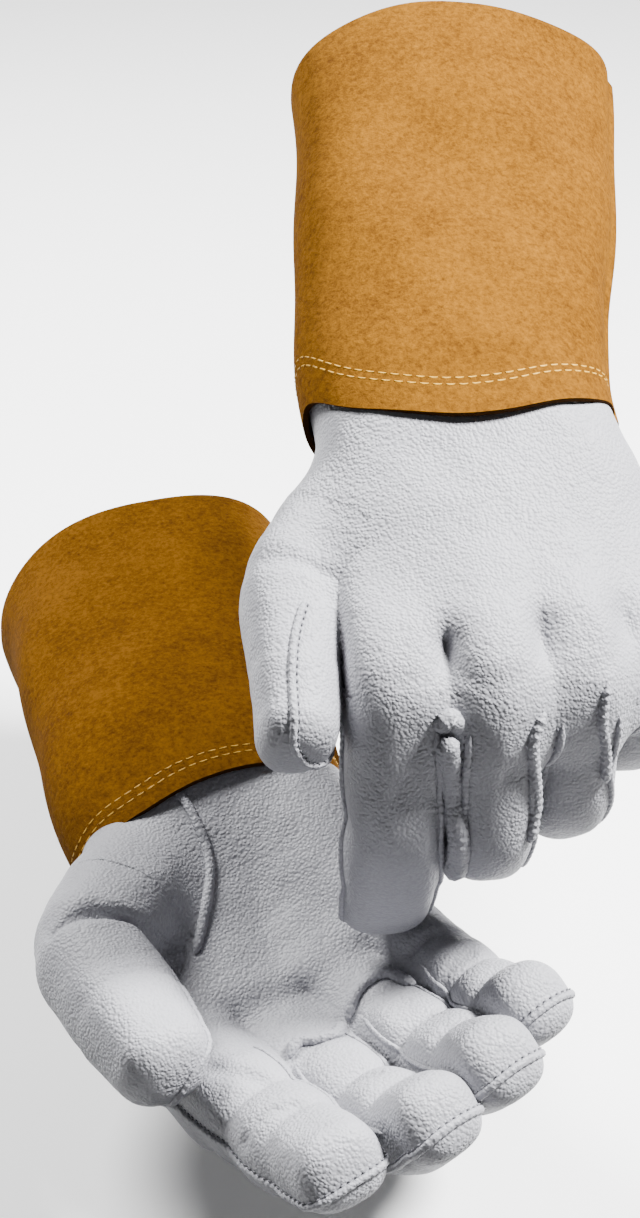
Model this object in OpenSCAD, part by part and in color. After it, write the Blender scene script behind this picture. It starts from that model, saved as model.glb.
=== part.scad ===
// A pair of welding gloves: leather hands with sewn-in fingers and thumbs, suede gauntlet cuffs.
// Units are millimetres and degrees. The frame's origin is the middle of the right cuff's mouth.
// A glove is drawn with its thumb towards +X, fingers towards +Y and its back towards +Z, then placed.

/* [Hand] */
// Breadth of the hand where it enters the cuff
hand_wrist_w = 88; // [70:1:110]
// Depth of the hand where it enters the cuff
hand_wrist_d = 54; // [40:1:70]
// Breadth of the hand across the knuckles
hand_knuckle_w = 107; // [104:1:122]
// Depth of the hand across the knuckles
hand_knuckle_d = 31; // [29:1:44]
// Distance from the wrist to the middle knuckle
hand_l = 97; // [92:1:115]
// Distance the index knuckle lies behind the middle one
index_setback = 5; // [2:0.5:8]
// Distance the ring knuckle lies behind the middle one
ring_setback = 3; // [1:0.5:6]
// Distance the little knuckle lies behind the middle one
little_setback = 11; // [8:0.5:16]
// Distance between neighbouring knuckles
knuckle_pitch = 26; // [25.8:0.1:28]
// Radius of the arch across the knuckles
knuckle_arch = 120; // [90:5:400]
// Position across the hand of the arch's crown
arch_crown = 14; // [0:1:20]
// Distance of the back's edge behind the knuckle line
back_lip = 2; // [1:0.5:4]
// Distance of the palm's edge behind the knuckle line
palm_lip = 14.5; // [12:0.5:16]
// Length of hand tucked past the wrist into the cuff
hand_tuck = 4; // [2:0.5:8]
// Thickness of the hand leather
leather_t = 1.2; // [0.8:0.1:1.6]
// Gap kept at a sewn edge
seam_gap = 0.5; // [0.3:0.1:0.9]

/* [Fingers] */
// Length of the index finger
index_l = 99; // [80:1:115]
// Length of the middle finger
middle_l = 108; // [90:1:125]
// Length of the ring finger
ring_l = 102; // [80:1:115]
// Length of the little finger
little_l = 85; // [65:1:100]
// Width of a finger at its base
finger_w = 24.6; // [20:0.2:24.8]
// Width of the little finger against the others
little_share = 0.88; // [0.75:0.01:0.9]
// Depth of a finger at its base
finger_d = 24; // [20:0.5:25]
// Share of its width a finger loses towards the tip
finger_taper = 0.1; // [0:0.01:0.3]
// Length over which a finger or thumb takes a bend
bend_run = 22; // [16:1:28]
// Half angle of the strip between two fingers
fourchette_arc = 30; // [20:1:40]

/* [Thumb] */
// Length of the thumb
thumb_l = 92; // [80:1:115]
// Diameter of the thumb at its root
thumb_root_d = 35; // [28:0.5:37]
// Diameter of the thumb along its length
thumb_d = 30; // [22:0.5:32]
// Length over which the thumb narrows from its root
thumb_swell = 30; // [20:1:40]
// Half the length of the opening the thumb is sewn into
thumb_hole_half = 42; // [38:1:44]
// Position of the thumb's root across the hand
thumb_x = 40; // [36:0.5:44]
// Position of the thumb's root along the hand
thumb_y = 34; // [28:1:40]
// Depth of the thumb's root below the middle of the hand
thumb_drop = 11; // [8:0.5:14]

/* [Cuff] */
// Length of the cuff from the wrist to its mouth
cuff_l = 150; // [90:1:200]
// Length of hand covered by the cuff
cuff_lap = 12; // [8:1:16]
// Length over which the cuff takes the wrist's bend
wrist_run = 40; // [30:1:60]
// Breadth of the cuff at the wrist
cuff_wrist_w = 96; // [95:1:124]
// Depth of the cuff at the wrist
cuff_wrist_d = 62; // [61:1:84]
// Breadth and depth of the left cuff's mouth
left_mouth = [109, 69]; // [60:1:150]
// Breadth and depth of the right cuff's mouth
right_mouth = [113, 80]; // [60:1:150]
// Thickness of the cuff suede
suede_t = 1.8; // [1.2:0.1:2.2]
// Width of the hem turned inside the mouth
hem_w = 14; // [8:1:24]
// Distance of the first row of stitches from the cuff's edge
row_in = 5; // [3:0.5:10]
// Distance between the two rows of stitches
row_pitch = 5; // [3:0.5:8]
// Length of one stitch
stitch_l = 4; // [2.5:0.1:5]
// Thickness of the sewing thread
thread_d = 0.8; // [0.5:0.1:1]

/* [Pose of the left glove] */
// Position of the left wrist
left_at = [84.5, -156, 140]; // [-300:0.5:300]
// Turns of the left hand about X, Y and Z
left_turn = [-27.5, 2, -177]; // [-180:0.5:180]
// Bend of the left knuckles, index to little
left_bend = [55, 59.5, 64.5, 76]; // [0:0.5:80]
// Curl of the left fingers, index to little
left_curl = [23, 80, 80, 80]; // [0:1:80]
// Sideways lean of the left fingers, index to little
left_lean = [5, 5, 5, 5]; // [-12:1:12]
// Left thumb: swing out, drop, first curl, second curl
left_thumb = [49, -2, 36, 0]; // [-10:1:80]
// Bends of the left cuff, up and sideways
left_cuff_bend = [1, -14]; // [-20:1:20]

/* [Pose of the right glove] */
// Turns of the right hand about X, Y and Z
right_turn = [-161.2, -7.4, 14.5]; // [-180:0.1:180]
// Bend of the right knuckles, index to little
right_bend = [26.5, 23.5, 26, 15.5]; // [0:0.5:80]
// Curl of the right fingers, index to little
right_curl = [9, 23.5, 21, 30]; // [0:0.5:80]
// Sideways lean of the right fingers, index to little
right_lean = [-10, -12, -12, -12]; // [-12:1:12]
// Right thumb: swing out, drop, first curl, second curl
right_thumb = [47, 22, 50, 0]; // [-10:1:80]
// Bends of the right cuff, up and sideways
right_cuff_bend = [-20, -15.4]; // [-24:0.1:24]

/* [Hidden] */
LEFT = 1;
RIGHT = -1;
INDEX = 0;
MIDDLE = 1;
RING = 2;
LITTLE = 3;
leather_white = [0.86, 0.86, 0.87];
leather_side = [0.78, 0.78, 0.8];
suede_gold = [0.72, 0.52, 0.24];
thread_yellow = [0.85, 0.72, 0.4];
finger_l = [index_l, middle_l, ring_l, little_l];
finger_half = [finger_w / 2, finger_w / 2, finger_w / 2, finger_w * little_share / 2];
knuckle = [
    arched(1.52 * knuckle_pitch, hand_l - index_setback, 0, 1),
    arched(0.48 * knuckle_pitch, hand_l, 0, 1),
    arched(-0.52 * knuckle_pitch, hand_l - ring_setback, 0, 1),
    arched(-1.46 * knuckle_pitch, hand_l - little_setback, 0, 1)
];
thumb_root = [thumb_x, thumb_y, -thumb_drop];
// Shares of a finger's length at its two bends, and of a thumb's
finger_bends = [0.465, 0.74];
thumb_bends = [0.34, 0.68];
// Gaps under what is laid on a face, on the outside and on the inside
lay = 0.3;
lay_in = 0.5;
// Gap under the welt laid across the hollow of the palm
lay_palm = 1.1;
// Stations along the cuff, closer together where it takes the wrist's bend
cuff_rows = concat(
    [for (i = [0:4]) i * wrist_run / 4],
    [for (i = [1:3]) mix(wrist_run, cuff_l + cuff_lap, i / 3)]
);

function smooth(u) = let (v = min(1, max(0, u))) v * v * (3 - 2 * v);
function mix(a, b, u) = a + (b - a) * u;
function rot_x(a) = [[1, 0, 0], [0, cos(a), -sin(a)], [0, sin(a), cos(a)]];
function rot_y(a) = [[cos(a), 0, sin(a)], [0, 1, 0], [-sin(a), 0, cos(a)]];
function rot_z(a) = [[cos(a), -sin(a), 0], [sin(a), cos(a), 0], [0, 0, 1]];
function bend(g) = g == LEFT ? left_bend : right_bend;
function curl(g) = g == LEFT ? left_curl : right_curl;
function lean(g) = g == LEFT ? left_lean : right_lean;
function thumb_pose(g) = g == LEFT ? left_thumb : right_thumb;
function cuff_bend(g) = g == LEFT ? left_cuff_bend : right_cuff_bend;
function mouth(g) = g == LEFT ? left_mouth : right_mouth;

// Bends a point of the hand round the arch of the knuckles; the share is 0 at the wrist, 1 at the knuckles
function arched(x, y, z, share) =
    share < 0.001 ? [x, y, z]
    : let (r = knuckle_arch / share, a = (x - arch_crown) / r * 180 / PI)
        [arch_crown + (r + z) * sin(a), y, (r + z) * cos(a) - r];

// Turns a glove's own point into the shared frame; the right glove is the mirror image of the left
function turned(g, p) = let (a = g == LEFT ? left_turn : right_turn)
    rot_z(a.z) * rot_y(a.y) * rot_x(a.x) * [g * p.x, p.y, p.z];
right_at = -turned(RIGHT, cuff_middle(RIGHT, cuff_l + cuff_lap));
function placed(g, p) = turned(g, p) + (g == LEFT ? left_at : right_at);

// A rounded section: half sizes w and d, angle a from the thumb side over the back, squarer as q falls
function oval(w, d, a, q = 0.86) = [
    w * sign(cos(a)) * pow(abs(cos(a)), q),
    d * sign(sin(a)) * pow(abs(sin(a)), q)
];

// Stations along a stall of length l: the rounded root behind its hinge, the bends, the round tip
function stations(l, root, tip) = concat(
    [-0.75 * root, -0.4 * root, 0],
    [for (u = [0.17, 0.38, 0.55, 0.7, 0.84]) u * (l - tip)],
    [for (u = [0, 0.5, 0.8, 0.96]) l - tip + u * tip]
);
function stall_angle(s, l, bends, first, second) =
    first * smooth((s - bends[0] * l) / bend_run + 0.5)
    + second * smooth((s - bends[1] * l) / bend_run + 0.5);
function along(a) = [cos(a), -sin(a)];
// Walks the middle line of a stall in its own plane of bending, from the hinge out
function middle_line(s, l, bends, base, first, second) = [
    for (i = 0, p = s[0] * along(base); i < len(s);
        p = i + 1 < len(s)
            ? p + (s[i + 1] - s[i])
                * along(base + stall_angle((s[i] + s[i + 1]) / 2, l, bends, first, second))
            : p,
        i = i + 1)
    [p, base + stall_angle(s[i], l, bends, first, second)]
];
function round_end(s, l, tip) = s > l - tip ? sqrt(1 - pow((s - l + tip) / tip, 2)) : 1;
function round_root(s, root) = s < 0 ? sqrt(1 - pow(s / root, 2)) : 1;

// One row of points across a finger wall, from angle a0 to a1, inset below its outer face
function finger_row(g, f, s, line, a0, a1, n, inset) =
    let (
        l = finger_l[f],
        half = finger_half[f],
        root = finger_d / 2,
        fade = (1 - finger_taper * max(0, s) / l) * round_end(s, l, half),
        w = half * fade * (s < 0 ? 1 + 0.3 * s / root : 1),
        d = root * fade * round_root(s, root),
        wi = max(w - inset, 0.3 * w),
        di = max(d - inset, 0.3 * d),
        back = max(0, s - (l - 1.6 * inset)),
        m = line[0] - back * along(line[1]),
        up = [sin(line[1]), cos(line[1])],
        k = knuckle[f],
        e = lean(g)[f]
    )
    [for (j = [0:n])
        let (
            o = oval(wi, di, mix(a0, a1, j / n)),
            y = m[0] + o[1] * up[0],
            z = m[1] + o[1] * up[1]
        )
        placed(g, k + rot_z(-e) * [o[0], y, z])];

// One row of points across a thumb wall; the thumb curls in the plane of its swing
function thumb_row(g, s, line, a0, a1, n, inset) =
    let (
        root = thumb_root_d / 2,
        tip = thumb_d / 2,
        r = s < 0 ? root * round_root(s, root)
            : mix(root, tip, smooth(s / thumb_swell)) * (1 - 0.08 * s / thumb_l)
                * round_end(s, thumb_l, tip),
        ri = max(r - inset, 0.3 * r),
        back = max(0, s - (thumb_l - 1.6 * inset)),
        m = line[0] - back * along(line[1]),
        side = [sin(line[1]), cos(line[1])],
        t = thumb_pose(g),
        turn = rot_z(-t[0]) * rot_x(-t[1])
    )
    [for (j = [0:n])
        let (
            o = oval(ri, ri, mix(a0, a1, j / n)),
            p = turn * [m[1] + o[0] * side[1], m[0] + o[0] * side[0], o[1]]
        )
        placed(g, thumb_root + p)];

// The hand: half sizes along its length, the knuckle line, and a point on it or inset below it
function hand_half_w(u) = mix(hand_wrist_w, hand_knuckle_w, smooth(1.6 * u)) / 2;
function hand_half_d(u) = mix(hand_wrist_d, hand_knuckle_d, smooth(u)) / 2;
function hand_end(a) =
    let (v = cos(a) - 0.15)
    hand_l - 1.25 * little_setback * v * v - mix(back_lip, palm_lip, (1 - sin(a)) / 2);
function hand_point(g, u, a, inset) =
    let (o = oval(hand_half_w(u) - inset, hand_half_d(u) - inset, a, mix(0.86, 0.5, smooth(u))))
    placed(g, arched(o[0], mix(-hand_tuck, hand_end(a), u), o[1], smooth(u)));
// The two edges of the opening the thumb is sewn into, as angles round the hand
function thumb_hole(u) =
    let (v = (u * hand_l - thumb_y - thumb_root_d / 6) / thumb_hole_half)
    abs(v) < 1 ? 1 - pow(v, 4) : 0;
function hole_back(u) = mix(2, 27, thumb_hole(u));
function hole_palm(u) = mix(358, 288, thumb_hole(u));

// The outer seam's welt starts clear of the cuff
welt_from = (cuff_lap + hand_tuck + 2) / (hand_end(180) + hand_tuck);

// The cuff: its bending axis, and a point on it at length s from its wrist edge
function cuff_turn(g, s) =
    let (b = cuff_bend(g), u = smooth(s / wrist_run))
    rot_z(b[1] * u) * rot_x(b[0] * u);
function cuff_middle(g, s, from = 0, step = 6) =
    from >= s ? [0, cuff_lap, 0]
    : let (ds = min(step, s - from))
        cuff_middle(g, s, from + step, step) + cuff_turn(g, from + ds / 2) * [0, -ds, 0];
function cuff_point(g, s, a, inset) =
    let (
        u = s / (cuff_l + cuff_lap),
        w = mix(cuff_wrist_w, mouth(g)[0], u) / 2 - inset,
        d = mix(cuff_wrist_d, mouth(g)[1], u) / 2 - inset,
        o = oval(w, d, a)
    )
    placed(g, cuff_middle(g, s) + cuff_turn(g, s) * [o[0], 0, o[1]]);

// A sewn panel as a closed solid between an outer and an inner grid of points
module panel(g, outer, inner) {
    n = len(outer);
    m = len(outer[0]);
    all = n * m;
    quads = concat(
        [for (i = [0:n - 2], j = [0:m - 2])
            [i * m + j, i * m + j + 1, (i + 1) * m + j + 1, (i + 1) * m + j]],
        [for (i = [0:n - 2], j = [0:m - 2])
            [all + i * m + j, all + (i + 1) * m + j, all + (i + 1) * m + j + 1, all + i * m + j + 1]],
        [for (j = [0:m - 2]) [j + 1, j, all + j, all + j + 1]],
        [for (j = [0:m - 2])
            [(n - 1) * m + j, (n - 1) * m + j + 1, all + (n - 1) * m + j + 1, all + (n - 1) * m + j]],
        [for (i = [0:n - 2]) [i * m, (i + 1) * m, all + (i + 1) * m, all + i * m]],
        [for (i = [0:n - 2])
            [(i + 1) * m + m - 1, i * m + m - 1, all + i * m + m - 1, all + (i + 1) * m + m - 1]]
    );
    halves = [for (q = quads) each [[q[0], q[1], q[2]], [q[0], q[2], q[3]]]];
    turns = g == LEFT ? halves : [for (t = halves) [t[2], t[1], t[0]]];
    polyhedron(concat([for (r = outer) each r], [for (r = inner) each r]), turns, convexity = 8);
}

module finger_panel(g, f, a0, a1, n) {
    l = finger_l[f];
    s = stations(l, finger_d / 2, finger_half[f]);
    line = middle_line(s, l, finger_bends, bend(g)[f], curl(g)[f], 0.6 * curl(g)[f]);
    panel(
        g,
        [for (i = [0:len(s) - 1]) finger_row(g, f, s[i], line[i], a0, a1, n, 0)],
        [for (i = [0:len(s) - 1]) finger_row(g, f, s[i], line[i], a0, a1, n, leather_t)]
    );
}

module thumb_panel(g, a0, a1, n) {
    t = thumb_pose(g);
    s = stations(thumb_l, thumb_root_d / 2, thumb_d / 2);
    line = middle_line(s, thumb_l, thumb_bends, 0, t[2], t[3]);
    panel(
        g,
        [for (i = [0:len(s) - 1]) thumb_row(g, s[i], line[i], a0, a1, n, 0)],
        [for (i = [0:len(s) - 1]) thumb_row(g, s[i], line[i], a0, a1, n, leather_t)]
    );
}

// The two strips sewn between neighbouring fingers leave these angles for a finger's back and front
function thumb_side(f) = f == INDEX ? 0 : fourchette_arc;
function little_side(f) = f == LITTLE ? 180 : 180 - fourchette_arc;
function seam_arc(f) = seam_gap / 2 / finger_half[f] * 180 / PI;

module finger_back(g, f) {
    finger_panel(g, f, thumb_side(f) + seam_arc(f), little_side(f) - seam_arc(f), 5);
}

module finger_front(g, f) {
    finger_panel(g, f, 360 - little_side(f) + seam_arc(f), 360 - thumb_side(f) - seam_arc(f), 5);
}

module fourchette_to_thumb(g, f) {
    finger_panel(g, f, seam_arc(f) - fourchette_arc, fourchette_arc - seam_arc(f), 2);
}

module fourchette_to_little(g, f) {
    finger_panel(g, f, 180 - fourchette_arc + seam_arc(f), 180 + fourchette_arc - seam_arc(f), 2);
}

module hand_panel(g, rows, n, palm) {
    gap = 0.4;
    function edge_0(u) = palm ? 180 + gap : hole_back(u);
    function edge_1(u) = palm ? hole_palm(u) : 180 - gap;
    panel(
        g,
        [for (i = [0:rows], u = i / rows)
            [for (j = [0:n]) hand_point(g, u, mix(edge_0(u), edge_1(u), j / n), 0)]],
        [for (i = [0:rows], u = i / rows)
            [for (j = [0:n]) hand_point(g, u, mix(edge_0(u), edge_1(u), j / n), leather_t)]]
    );
}

// A narrow strip laid on the hand over a seam, from u0 to u1 along it and a0 to a1 round it
module hand_welt(g, u0, u1, a0, a1, rows, n, gap) {
    panel(
        g,
        [for (i = [0:rows])
            [for (j = [0:n])
                hand_point(g, mix(u0, u1, i / rows), mix(a0, a1, j / n), -gap - leather_t)]],
        [for (i = [0:rows])
            [for (j = [0:n]) hand_point(g, mix(u0, u1, i / rows), mix(a0, a1, j / n), -gap)]]
    );
}

// A band of the cuff through a list of stations, from a0 to a1 round it, between two insets
module cuff_band(g, s, a0, a1, n, outer, inner) {
    panel(
        g,
        [for (i = [0:len(s) - 1]) [for (j = [0:n]) cuff_point(g, s[i], mix(a0, a1, j / n), outer)]],
        [for (i = [0:len(s) - 1]) [for (j = [0:n]) cuff_point(g, s[i], mix(a0, a1, j / n), inner)]]
    );
}

// The cuff is one piece of suede wrapped round and closed down the little-finger side
module cuff_shell(g) {
    cuff_band(g, [for (i = [len(cuff_rows) - 1:-1:0]) cuff_rows[i]], 180.4, 539.6, 34, 0, suede_t);
}

module cuff_hem_band(g) {
    l = cuff_l + cuff_lap;
    cuff_band(g, [l - 0.5, l - hem_w], 190, 530, 26, suede_t + lay_in, 2 * suede_t + lay_in);
}

module cuff_seam_band(g) {
    l = cuff_l + cuff_lap;
    rows = [for (i = [len(cuff_rows) - 1:-1:0])
        if (cuff_rows[i] > cuff_lap + hand_tuck) min(cuff_rows[i], l - 0.5)];
    cuff_band(g, rows, 175, 185, 2, suede_t + lay_in, 2 * suede_t + lay_in);
}

module cuff_stitches(g) {
    around = PI * (cuff_wrist_w + cuff_wrist_d) / 2;
    count = floor(around / (1.6 * stitch_l));
    step = 350 / count;
    for (row = [0, 1], i = [0:count - 1]) {
        s = row_in + row * row_pitch;
        a = 185 + i * step;
        cuff_band(g, [s + thread_d, s], a, a + 0.62 * step, 1, -lay - thread_d, -lay);
    }
}

module left_cuff() {
    color(suede_gold) cuff_shell(LEFT);
}

module left_cuff_hem() {
    color(suede_gold) cuff_hem_band(LEFT);
}

module left_cuff_seam_strip() {
    color(suede_gold) cuff_seam_band(LEFT);
}

module left_cuff_thread() {
    color(thread_yellow) cuff_stitches(LEFT);
}

module left_hand_back() {
    color(leather_white) hand_panel(LEFT, 9, 14, false);
}

module left_hand_palm() {
    color(leather_white) hand_panel(LEFT, 9, 12, true);
}

module left_outseam_welt() {
    color(leather_side) hand_welt(LEFT, welt_from, 0.96, 177, 183, 7, 2, lay);
}

module left_palm_welt() {
    color(leather_side) hand_welt(LEFT, 0.95, 0.985, 215, 325, 1, 10, lay_palm);
}

module left_index_back() {
    color(leather_white) finger_back(LEFT, INDEX);
}

module left_index_front() {
    color(leather_white) finger_front(LEFT, INDEX);
}

module left_index_fourchette_middle_side() {
    color(leather_side) fourchette_to_little(LEFT, INDEX);
}

module left_middle_back() {
    color(leather_white) finger_back(LEFT, MIDDLE);
}

module left_middle_front() {
    color(leather_white) finger_front(LEFT, MIDDLE);
}

module left_middle_fourchette_index_side() {
    color(leather_side) fourchette_to_thumb(LEFT, MIDDLE);
}

module left_middle_fourchette_ring_side() {
    color(leather_side) fourchette_to_little(LEFT, MIDDLE);
}

module left_ring_back() {
    color(leather_white) finger_back(LEFT, RING);
}

module left_ring_front() {
    color(leather_white) finger_front(LEFT, RING);
}

module left_ring_fourchette_middle_side() {
    color(leather_side) fourchette_to_thumb(LEFT, RING);
}

module left_ring_fourchette_little_side() {
    color(leather_side) fourchette_to_little(LEFT, RING);
}

module left_little_back() {
    color(leather_white) finger_back(LEFT, LITTLE);
}

module left_little_front() {
    color(leather_white) finger_front(LEFT, LITTLE);
}

module left_little_fourchette_ring_side() {
    color(leather_side) fourchette_to_thumb(LEFT, LITTLE);
}

module left_thumb_back() {
    color(leather_white) thumb_panel(LEFT, 1, 179, 6);
}

module left_thumb_front() {
    color(leather_white) thumb_panel(LEFT, 181, 359, 6);
}

module right_cuff() {
    color(suede_gold) cuff_shell(RIGHT);
}

module right_cuff_hem() {
    color(suede_gold) cuff_hem_band(RIGHT);
}

module right_cuff_seam_strip() {
    color(suede_gold) cuff_seam_band(RIGHT);
}

module right_cuff_thread() {
    color(thread_yellow) cuff_stitches(RIGHT);
}

module right_hand_back() {
    color(leather_white) hand_panel(RIGHT, 9, 14, false);
}

module right_hand_palm() {
    color(leather_white) hand_panel(RIGHT, 9, 12, true);
}

module right_outseam_welt() {
    color(leather_side) hand_welt(RIGHT, welt_from, 0.96, 177, 183, 7, 2, lay);
}

module right_palm_welt() {
    color(leather_side) hand_welt(RIGHT, 0.95, 0.985, 215, 325, 1, 10, lay_palm);
}

module right_index_back() {
    color(leather_white) finger_back(RIGHT, INDEX);
}

module right_index_front() {
    color(leather_white) finger_front(RIGHT, INDEX);
}

module right_index_fourchette_middle_side() {
    color(leather_side) fourchette_to_little(RIGHT, INDEX);
}

module right_middle_back() {
    color(leather_white) finger_back(RIGHT, MIDDLE);
}

module right_middle_front() {
    color(leather_white) finger_front(RIGHT, MIDDLE);
}

module right_middle_fourchette_index_side() {
    color(leather_side) fourchette_to_thumb(RIGHT, MIDDLE);
}

module right_middle_fourchette_ring_side() {
    color(leather_side) fourchette_to_little(RIGHT, MIDDLE);
}

module right_ring_back() {
    color(leather_white) finger_back(RIGHT, RING);
}

module right_ring_front() {
    color(leather_white) finger_front(RIGHT, RING);
}

module right_ring_fourchette_middle_side() {
    color(leather_side) fourchette_to_thumb(RIGHT, RING);
}

module right_ring_fourchette_little_side() {
    color(leather_side) fourchette_to_little(RIGHT, RING);
}

module right_little_back() {
    color(leather_white) finger_back(RIGHT, LITTLE);
}

module right_little_front() {
    color(leather_white) finger_front(RIGHT, LITTLE);
}

module right_little_fourchette_ring_side() {
    color(leather_side) fourchette_to_thumb(RIGHT, LITTLE);
}

module right_thumb_back() {
    color(leather_white) thumb_panel(RIGHT, 1, 179, 6);
}

module right_thumb_front() {
    color(leather_white) thumb_panel(RIGHT, 181, 359, 6);
}

left_cuff();
left_cuff_hem();
left_cuff_seam_strip();
left_cuff_thread();
left_hand_back();
left_hand_palm();
left_outseam_welt();
left_palm_welt();
left_index_back();
left_index_front();
left_index_fourchette_middle_side();
left_middle_back();
left_middle_front();
left_middle_fourchette_index_side();
left_middle_fourchette_ring_side();
left_ring_back();
left_ring_front();
left_ring_fourchette_middle_side();
left_ring_fourchette_little_side();
left_little_back();
left_little_front();
left_little_fourchette_ring_side();
left_thumb_back();
left_thumb_front();
right_cuff();
right_cuff_hem();
right_cuff_seam_strip();
right_cuff_thread();
right_hand_back();
right_hand_palm();
right_outseam_welt();
right_palm_welt();
right_index_back();
right_index_front();
right_index_fourchette_middle_side();
right_middle_back();
right_middle_front();
right_middle_fourchette_index_side();
right_middle_fourchette_ring_side();
right_ring_back();
right_ring_front();
right_ring_fourchette_middle_side();
right_ring_fourchette_little_side();
right_little_back();
right_little_front();
right_little_fourchette_ring_side();
right_thumb_back();
right_thumb_front();
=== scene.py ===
"""A pair of gauntlet welding gloves, posed as worn: pale grain leather hands with gold suede cuffs."""

import bpy
import numpy as np
import openvdb
from mathutils import Matrix, Vector


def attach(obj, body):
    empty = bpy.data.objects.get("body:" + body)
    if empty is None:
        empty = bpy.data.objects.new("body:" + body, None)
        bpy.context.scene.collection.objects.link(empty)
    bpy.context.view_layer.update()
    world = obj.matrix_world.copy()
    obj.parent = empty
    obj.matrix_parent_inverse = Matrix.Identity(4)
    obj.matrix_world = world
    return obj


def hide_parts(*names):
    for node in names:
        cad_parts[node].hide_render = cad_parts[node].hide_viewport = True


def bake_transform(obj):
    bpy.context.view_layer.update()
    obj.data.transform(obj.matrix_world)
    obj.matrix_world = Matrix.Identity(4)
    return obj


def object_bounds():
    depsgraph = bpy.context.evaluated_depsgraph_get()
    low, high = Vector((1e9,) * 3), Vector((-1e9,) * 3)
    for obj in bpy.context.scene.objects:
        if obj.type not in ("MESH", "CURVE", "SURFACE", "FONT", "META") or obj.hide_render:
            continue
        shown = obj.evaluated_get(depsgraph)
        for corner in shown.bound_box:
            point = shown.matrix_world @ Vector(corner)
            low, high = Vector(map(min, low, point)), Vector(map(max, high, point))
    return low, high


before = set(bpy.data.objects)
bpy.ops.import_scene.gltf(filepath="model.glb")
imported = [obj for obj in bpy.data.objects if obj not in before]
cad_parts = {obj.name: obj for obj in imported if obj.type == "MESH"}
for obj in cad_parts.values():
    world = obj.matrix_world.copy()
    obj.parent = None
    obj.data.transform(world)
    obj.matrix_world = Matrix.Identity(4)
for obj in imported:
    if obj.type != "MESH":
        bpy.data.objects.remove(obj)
cad_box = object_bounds()

# The studio: a pale floor under the lower glove, three large soft lamps, and a camera at the
# photograph's viewing angle. The floor throws no light back, so undersides stay dark.
FLOOR_DROP, FLOOR_REACH = 0.02, 9
floor_z = cad_box[0][2] - FLOOR_DROP
corners = [(x * FLOOR_REACH, y * FLOOR_REACH, floor_z) for x, y in ((-1, -1), (1, -1), (1, 1), (-1, 1))]
floor_mesh = bpy.data.meshes.new("floor")
floor_mesh.from_pydata(corners, [], [(0, 1, 2, 3)])
floor = bpy.data.objects.new("floor", floor_mesh)
bpy.context.collection.objects.link(floor)
floor.visible_diffuse = False
paper = bpy.data.materials.new("pale_paper")
paper.use_nodes = True
for socket, value in (
    ("Base Color", (0.9, 0.9, 0.9, 1)), ("Roughness", 0.95),
    ("Emission Color", (1, 1, 1, 1)), ("Emission Strength", 0.1),
):
    paper.node_tree.nodes["Principled BSDF"].inputs[socket].default_value = value
floor_mesh.materials.append(paper)

world = bpy.data.worlds.new("studio")
world.use_nodes = True
world.node_tree.nodes["Background"].inputs["Color"].default_value = (0.94, 0.95, 1.0, 1)
world.node_tree.nodes["Background"].inputs["Strength"].default_value = 0.06
bpy.context.scene.world = world


def aimed(place, target):
    """The turn and place that make an object's -Z look from place to target with its +Y upwards."""
    look = (Vector(target) - Vector(place)).to_track_quat("-Z", "Y")
    return Matrix.Translation(place) @ look.to_matrix().to_4x4()


VIEW_MIDDLE, VIEW_PLACE = (0.0455, -0.1334, 0.0606), (-0.0732, -0.8265, 0.4420)
for name, place, size, power in (
    ("key_lamp", (0.95, -0.30, 1.25), 0.35, 150.0),
    ("fill_lamp", (-0.9, -1.1, 0.7), 0.8, 0.5),
    ("back_lamp", (-0.6, 0.50, 1.1), 0.6, 52.0),
):
    lamp = bpy.data.lights.new(name, "AREA")
    lamp.shape, lamp.size, lamp.energy = "DISK", size, power
    lamp_object = bpy.data.objects.new(name, lamp)
    lamp_object.matrix_world = aimed(place, VIEW_MIDDLE)
    bpy.context.collection.objects.link(lamp_object)

camera = bpy.data.cameras.new("camera")
camera.sensor_width, camera.lens = 36, 70.94
camera.clip_start, camera.clip_end = 0.05, 50
camera_object = bpy.data.objects.new("camera", camera)
camera_object.matrix_world = aimed(VIEW_PLACE, VIEW_MIDDLE)
bpy.context.collection.objects.link(camera_object)
bpy.context.scene.camera = camera_object

# The hands: grain leather sewn into a palm and back, four finger stalls and a set-in thumb. Each
# glove is drawn in millimetres with its thumb at +X, fingers at +Y and back at +Z, then placed;
# the right glove is the mirror image of the left with its own pose.
GLOVES = {
    "left": dict(
        mirror=1, at=(84.5, -156, 140), turn=(-27.5, 2, -177),
        bend=(55, 59.5, 64.5, 76), curl=(23, 80, 80, 80), lean=(5, 5, 5, 5),
        lengths=(96.5, 109, 102, 85), joint=(0.465, 0.5, 0.48, 0.465), index_side=16.6,
        thumb=(49, -2, 36, 0), thumb_length=87.5, thumb_breadth=(0.6, 0.95),
        cuff=(1, -14), mouth=(109, 69),
    ),
    "right": dict(
        mirror=-1, at=(2.0, -149.7, -2.8), turn=(-161.2, -7.4, 14.5),
        bend=(26.5, 23.5, 26, 15.5), curl=(9, 23.5, 21, 30), lean=(-10, -12, -12, -12),
        lengths=(95, 99.5, 92, 75.5), joint=(0.465, 0.465, 0.465, 0.465), index_side=17.0,
        thumb=(47, 22, 50, 0), thumb_length=92, thumb_breadth=(1.0, 1.0),
        cuff=(-20, -15.4), mouth=(113, 84),
    ),
}
FINGERS = ("index", "middle", "ring", "little")
FINGER_HALVES = ((13.5, 14.6), (13.7, 15.0), (13.7, 15.2), (13.0, 14.4))
THUMB_ROOT = (40, 34, -11)
ROOT_START = -26
ARCH_RADIUS, ARCH_CROWN = 120.0, 14.0


def turn_x(degrees):
    """The matrix that turns about X."""
    c, s = np.cos(np.radians(degrees)), np.sin(np.radians(degrees))
    return np.array([[1, 0, 0], [0, c, -s], [0, s, c]])


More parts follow.
